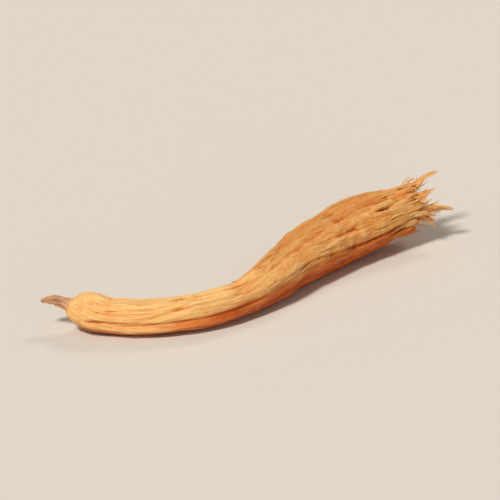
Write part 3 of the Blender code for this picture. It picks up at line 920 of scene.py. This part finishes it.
def skin_flakes(rows, strips):
    """Narrow flakes of skin that have dried loose at one end and curl away from the surface."""
    rng = np.random.RandomState(314)
    for k in range(34):
        start = rng.uniform(4.0, FULL_LENGTH - 6.0)
        length = rng.uniform(1.3, 3.8)
        back = rng.uniform() < 0.35
        t = np.linspace(0, 1, 18)
        s = start + length * (1 - t if back else t)
        degrees = rng.uniform(-75, 250)
        on = on_skin(rows, s, np.radians(degrees + rng.uniform(-7, 7) * t))
        out = unit(on - axis_near(s))
        if on[:, 2].min() < 0.6:
            continue
        rise = rng.uniform(0.05, 0.32)
        path = on + out * (-0.08 * (1 - smooth(t / 0.4)) + rise * t**2.2)[:, None]
        ahead = unit(np.gradient(path, axis=0))
        across = np.cross(ahead, out)
        half = rng.uniform(0.07, 0.18) * (0.5 + 0.5 * smooth(t / 0.3)) * (1 - 0.65 * t**2)
        ends = np.clip(1.0 - 0.5 * rng.uniform(0, 1, 7) ** 1.5, 0.4, 1.0)
        where = float(np.interp(start, TOP_S, TOP_U))
        # painted shade: flakes on the underside are less pale and more orange
        dark = float(underside_shade_mask(where, math.radians(degrees)))
        strips.sheet(path, across, half, np.full(len(t), 0.03), ends / ends.max(), rng.uniform(-0.5, 0.7), 5,
                     (rng.uniform(0.05, 0.30) * (1 - 0.9 * dark), 0.5 - 0.35 * dark), rng.uniform(-0.4, 0.6) - 0.3 * dark,
                     max(where, 0.12), dark, 0.5, k + 2000)


# ------------------------------------------------------------------ materials
def srgb(r, g, b):
    """A colour given as on a screen, 0 to 255, as the linear numbers that Blender takes."""
    out = []
    for v in (r, g, b):
        v /= 255.0
        out.append(v / 12.92 if v <= 0.04045 else ((v + 0.055) / 1.055) ** 2.4)
    return (*out, 1.0)


class Nodes:
    def __init__(self, material):
        material.use_nodes = True
        self.tree = material.node_tree
        self.shader = self.tree.nodes["Principled BSDF"]

    def put(self, kind, **settings):
        node = self.tree.nodes.new(kind)
        for key, value in settings.items():
            setattr(node, key, value)
        return node

    def link(self, a, b):
        self.tree.links.new(a, b)

    def attribute(self, name, output="Fac"):
        return self.put("ShaderNodeAttribute", attribute_type="GEOMETRY", attribute_name=name).outputs[output]

    def stretched(self, source, x, y, z):
        node = self.put("ShaderNodeVectorMath", operation="MULTIPLY")
        self.link(source, node.inputs[0])
        node.inputs[1].default_value = (x, y, z)
        return node.outputs[0]

    def noise(self, vector, scale, detail=3.0, rough=0.5, distortion=0.0):
        node = self.put("ShaderNodeTexNoise")
        self.link(vector, node.inputs["Vector"])
        node.inputs["Scale"].default_value = scale
        node.inputs["Detail"].default_value = detail
        node.inputs["Roughness"].default_value = rough
        node.inputs["Distortion"].default_value = distortion
        return node.outputs["Fac"]

    def mapped(self, value, a, b, c=0.0, d=1.0, smoothly=True):
        node = self.put("ShaderNodeMapRange")
        node.interpolation_type = "SMOOTHSTEP" if smoothly else "LINEAR"
        self.link(value, node.inputs["Value"])
        for key, v in (("From Min", a), ("From Max", b), ("To Min", c), ("To Max", d)):
            node.inputs[key].default_value = v
        return node.outputs["Result"]

    def maths(self, operation, a, b):
        node = self.put("ShaderNodeMath", operation=operation)
        for i, v in enumerate((a, b)):
            if isinstance(v, (int, float)):
                node.inputs[i].default_value = v
            else:
                self.link(v, node.inputs[i])
        return node.outputs[0]

    def mix(self, factor, a, b, blend="MIX"):
        node = self.put("ShaderNodeMix", data_type="RGBA", blend_type=blend)
        node.clamp_factor = True
        for key, v in ((0, factor), (6, a), (7, b)):
            if isinstance(v, (int, float)):
                node.inputs[key].default_value = v
            elif isinstance(v, tuple):
                node.inputs[key].default_value = v
            else:
                self.link(v, node.inputs[key])
        return node.outputs[2]


def fungus_material():
    material = bpy.data.materials.new("dried_fungus")
    n = Nodes(material)
    flow = n.attribute("flow", "Vector")
    cavity, underside_shade = n.attribute("cavity"), n.attribute("underside_shade")
    length, pale, tone = (n.attribute(k) for k in ("length", "pale", "tone"))

    grain = n.stretched(flow, 0.08, 1.0, 1.0)
    fine = n.stretched(flow, 0.13, 1.0, 1.0)
    hairline = n.stretched(flow, 0.20, 1.0, 1.0)
    bands = n.noise(grain, 0.95, 4.0, 0.55, 0.4)
    streaks = n.noise(fine, 3.0, 4.0, 0.62, 0.25)
    threads = n.noise(fine, 8.0, 3.0, 0.65, 0.2)
    hairs = n.noise(hairline, 20.0, 2.0, 0.6)
    blotch = n.noise(flow, 0.40, 4.0, 0.60, 0.5)
    patches = n.noise(flow, 1.15, 4.0, 0.65, 0.6)
    speck = n.noise(flow, 3.1, 2.0, 0.55)
    furrow = n.maths("ABSOLUTE", n.maths("SUBTRACT", n.noise(n.stretched(flow, 0.05, 1.0, 1.0), 1.6, 3.0, 0.55, 0.35), 0.5), 0.0)
    furrow = n.mapped(furrow, 0.0, 0.016, 1.0, 0.0)
    crack = n.maths("ABSOLUTE", n.maths("SUBTRACT", n.noise(n.stretched(flow, 0.09, 1.0, 1.0), 4.2, 3.0, 0.60, 0.30), 0.5), 0.0)
    crack = n.mapped(crack, 0.0, 0.030, 1.0, 0.0)
    grit = n.noise(flow, 7.5, 3.0, 0.7)

    gold = srgb(255, 204, 130)
    tan = srgb(230, 165, 88)
    orange = srgb(224, 128, 46)
    rust = srgb(206, 92, 16)
    brown = srgb(158, 60, 8)
    ember = srgb(216, 92, 10)
    umber = srgb(176, 64, 4)
    dark = srgb(84, 32, 8)
    cream = srgb(254, 214, 150)
    flesh = srgb(255, 200, 138)
    inner = srgb(212, 122, 52)

    # bright gold towards the thin end, tan on the club
    place = n.maths("ADD", length, n.maths("MULTIPLY", n.maths("SUBTRACT", blotch, 0.5), 0.35))
    colour = n.mix(n.mapped(place, 0.28, 0.68), gold, tan)
    colour = n.mix(n.maths("MULTIPLY", n.mapped(bands, 0.42, 0.68), 0.29), colour, orange)
    colour = n.mix(n.maths("MULTIPLY", n.mapped(blotch, 0.50, 0.72), n.mapped(length, 0.3, 0.6, 0.18, 0.26)), colour, orange)
    colour = n.mix(n.maths("MULTIPLY", n.mapped(patches, 0.56, 0.74), n.mapped(length, 0.3, 0.6, 0.12, 0.18)), colour, rust)
    colour = n.mix(n.maths("MULTIPLY", n.mapped(patches, 0.44, 0.28), n.mapped(length, 0.35, 0.6, 0.30, 0.16)), colour, cream)
    # painted shade: the underside deepens from orange to brown, as in shadow with warm bounce light
    colour = n.mix(n.mapped(underside_shade, 0.0, 0.55, 0.0, 0.80), colour, n.mix(n.mapped(streaks, 0.35, 0.65), orange, ember))
    # painted shade: the lowest part deepens further, towards ember and umber
    uneven = n.mapped(n.maths("ADD", n.maths("MULTIPLY", bands, 0.6), n.maths("MULTIPLY", patches, 0.4)), 0.42, 0.58, 0.62, 1.0)
    deep = n.maths("MULTIPLY", n.mapped(underside_shade, 0.40, 1.0, 0.0, 0.90), uneven)
    colour = n.mix(deep, colour, n.mix(n.mapped(streaks, 0.30, 0.70), ember, umber))
    # lines along the grain
    colour = n.mix(n.maths("MULTIPLY", n.mapped(streaks, 0.52, 0.74), 0.34), colour, rust)
    colour = n.mix(n.maths("MULTIPLY", n.mapped(streaks, 0.44, 0.28), n.mapped(underside_shade, 0.1, 0.7, 0.36, 0.10)), colour, cream)
    colour = n.mix(1.0, colour, n.mapped(threads, 0.30, 0.70, 1.09, 0.87, False), "MULTIPLY")
    colour = n.mix(1.0, colour, n.mapped(hairs, 0.30, 0.70, 1.05, 0.94, False), "MULTIPLY")
    colour = n.mix(1.0, colour, n.mapped(grit, 0.30, 0.70, 1.06, 0.92, False), "MULTIPLY")
    colour = n.mix(n.maths("MULTIPLY", crack, n.mapped(length, 0.06, 0.13, 0.05, 0.15)), colour, rust)
    colour = n.mix(n.maths("MULTIPLY", furrow, n.mapped(length, 0.06, 0.13, 0.08, 0.24)), colour, brown)
    # brown in the creases, partly the skin's own darker grooves and partly painted shade where the strips lie deep;
    # paler crests are a painted highlight, strongest on top
    crease_tint_and_shade = n.maths("ADD", cavity, n.maths("MULTIPLY", n.maths("SUBTRACT", streaks, 0.5), 0.45))
    colour = n.mix(n.maths("MULTIPLY", n.mapped(crease_tint_and_shade, 0.58, 0.90), 0.55), colour, rust)
    colour = n.mix(n.maths("MULTIPLY", n.mapped(crease_tint_and_shade, 0.80, 1.05), 0.70), colour, brown)
    # painted highlight: crests paler, mostly on top and on the thin part
    crest_highlight = n.maths("MULTIPLY", n.mapped(cavity, 0.46, 0.15), n.mapped(length, 0.38, 0.60, 1.0, 0.62))
    colour = n.mix(n.maths("MULTIPLY", crest_highlight, n.mapped(underside_shade, 0.1, 0.7, 0.50, 0.06)), colour, cream)
    # painted shade: the club's crown is made a little darker and browner than its front
    colour = n.mix(1.0, colour, n.mix(n.mapped(n.attribute("crown_shade"), 0.0, 1.0), (1, 1, 1, 1), (0.89, 0.83, 0.76, 1)), "MULTIPLY")
    # small dark specks
    colour = n.mix(n.maths("MULTIPLY", n.mapped(speck, 0.68, 0.76), 0.65), colour, dark)
    # pale fibres where the flesh is torn open, shifting to a darker orange where the cavity value is high, which is
    # painted shade deep in the break
    torn = n.mix(n.mapped(cavity, 0.46, 0.95), flesh, inner)
    colour = n.mix(n.maths("MULTIPLY", pale, n.mapped(streaks, 0.3, 0.75, 0.95, 0.40)), colour, torn)
    # the withered nib is greyer
    colour = n.mix(n.mapped(length, 0.085, 0.050, 0.0, 0.80), colour, n.mix(n.mapped(streaks, 0.42, 0.66), srgb(198, 150, 124), srgb(132, 88, 70)))
    # each loose strip has a tone of its own; on the skin the same input carries a little of the crown's painted shade
    colour = n.mix(n.mapped(tone, 0.0, 1.0, 0.0, 0.50), colour, gold)
    colour = n.mix(n.mapped(tone, 0.0, -1.0, 0.0, 0.50), colour, orange)
    n.link(colour, n.shader.inputs["Base Color"])

    n.link(n.mapped(threads, 0.3, 0.7, 0.38, 0.60), n.shader.inputs["Roughness"])
    n.shader.inputs["Specular IOR Level"].default_value = 0.25
    n.shader.inputs["Subsurface Weight"].default_value = 0.22
    n.shader.inputs["Subsurface Radius"].default_value = (1.0, 0.42, 0.16)
    n.shader.inputs["Subsurface Scale"].default_value = 0.00045

    ridges = n.put("ShaderNodeBump")
    ridges.inputs["Strength"].default_value = 0.50
    ridges.inputs["Distance"].default_value = 0.00012
    n.link(n.maths("SUBTRACT", streaks, n.maths("MULTIPLY", furrow, 0.35)), ridges.inputs["Height"])
    lines = n.put("ShaderNodeBump")
    lines.inputs["Strength"].default_value = 0.50
    lines.inputs["Distance"].default_value = 0.00006
    fine_height = n.maths("ADD", threads, n.maths("MULTIPLY", hairs, 0.4))
    n.link(n.maths("SUBTRACT", fine_height, n.maths("MULTIPLY", crack, 0.35)), lines.inputs["Height"])
    n.link(ridges.outputs["Normal"], lines.inputs["Normal"])
    grains = n.put("ShaderNodeBump")
    grains.inputs["Strength"].default_value = 0.45
    grains.inputs["Distance"].default_value = 0.00004
    n.link(grit, grains.inputs["Height"])
    n.link(lines.outputs["Normal"], grains.inputs["Normal"])
    n.link(grains.outputs["Normal"], n.shader.inputs["Normal"])
    return material


def floor_material():
    material = bpy.data.materials.new("pale_floor")
    n = Nodes(material)
    n.shader.inputs["Base Color"].default_value = (0.70, 0.66, 0.605, 1)
    n.shader.inputs["Roughness"].default_value = 0.9
    n.shader.inputs["Specular IOR Level"].default_value = 0.1
    return material


# ------------------------------------------------------------------ the scene
skin, ROWS, FACTS = make_skin()
skin_strips, flesh_fibres = Strips(), Strips()
torn_fibres(skin_strips, flesh_fibres)
lip_slivers(ROWS, skin_strips)
skin_flakes(ROWS, skin_strips)
surface_fibrils(ROWS, (skin_strips, flesh_fibres))
fungus = fungus_material()
for piece in (skin, skin_strips.piece("torn_skin_strips"), flesh_fibres.piece("torn_flesh_fibres")):
    piece.data.materials.append(fungus)
    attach(piece, "root")
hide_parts(NODE)

bpy.ops.mesh.primitive_plane_add(size=8.0, location=(0, 0, 0))
ground = bpy.context.object
ground.name = "floor"
ground.data.materials.append(floor_material())
ground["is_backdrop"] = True


def sun(name, azimuth, elevation, strength, angle, colour):
    data = bpy.data.lights.new(name, "SUN")
    data.angle = math.radians(angle)
    data.energy = strength
    data.color = colour
    lamp = bpy.data.objects.new(name, data)
    a, e = math.radians(azimuth), math.radians(elevation)
    way = Vector((math.sin(a) * math.cos(e), -math.cos(a) * math.cos(e), math.sin(e)))
    lamp.location = way * 0.6
    lamp.rotation_euler = way.to_track_quat("Z", "Y").to_euler()
    bpy.context.scene.collection.objects.link(lamp)
    return lamp


sun("key", -38, 50, 2.85, 10, (1.0, 0.95, 0.88))
sun("rim", 150, 40, 0.70, 16, (1.0, 0.91, 0.81))
sun("fill", 20, 12, 0.35, 40, (1.0, 0.92, 0.82))

world = bpy.data.worlds.new("studio")
bpy.context.scene.world = world
world.use_nodes = True
world.node_tree.nodes["Background"].inputs[0].default_value = (1.0, 0.965, 0.92, 1)
world.node_tree.nodes["Background"].inputs[1].default_value = 0.22
bpy.context.scene.view_settings.view_transform = "Standard"

# the camera looks down at the photograph's angle through a long lens
ELEVATION = math.radians(24.0)
LENS, SENSOR, SEEN = 600.0, 36.0, 0.0525
DISTANCE = SEEN / 2 / math.tan(math.atan(SENSOR / 2 / LENS))
low, high = (np.array(v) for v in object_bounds())
target = (low + high) / 2
camera_data = bpy.data.cameras.new("camera")
camera_data.lens = LENS
camera_data.sensor_width = SENSOR
camera_data.clip_start, camera_data.clip_end = 0.01, 20.0
camera = bpy.data.objects.new("camera", camera_data)
camera.location = (
    target[0],
    target[1] - DISTANCE * math.cos(ELEVATION),
    target[2] + DISTANCE * math.sin(ELEVATION),
)
camera.rotation_euler = (math.pi / 2 - ELEVATION, 0, 0)
bpy.context.scene.collection.objects.link(camera)
bpy.context.scene.camera = camera
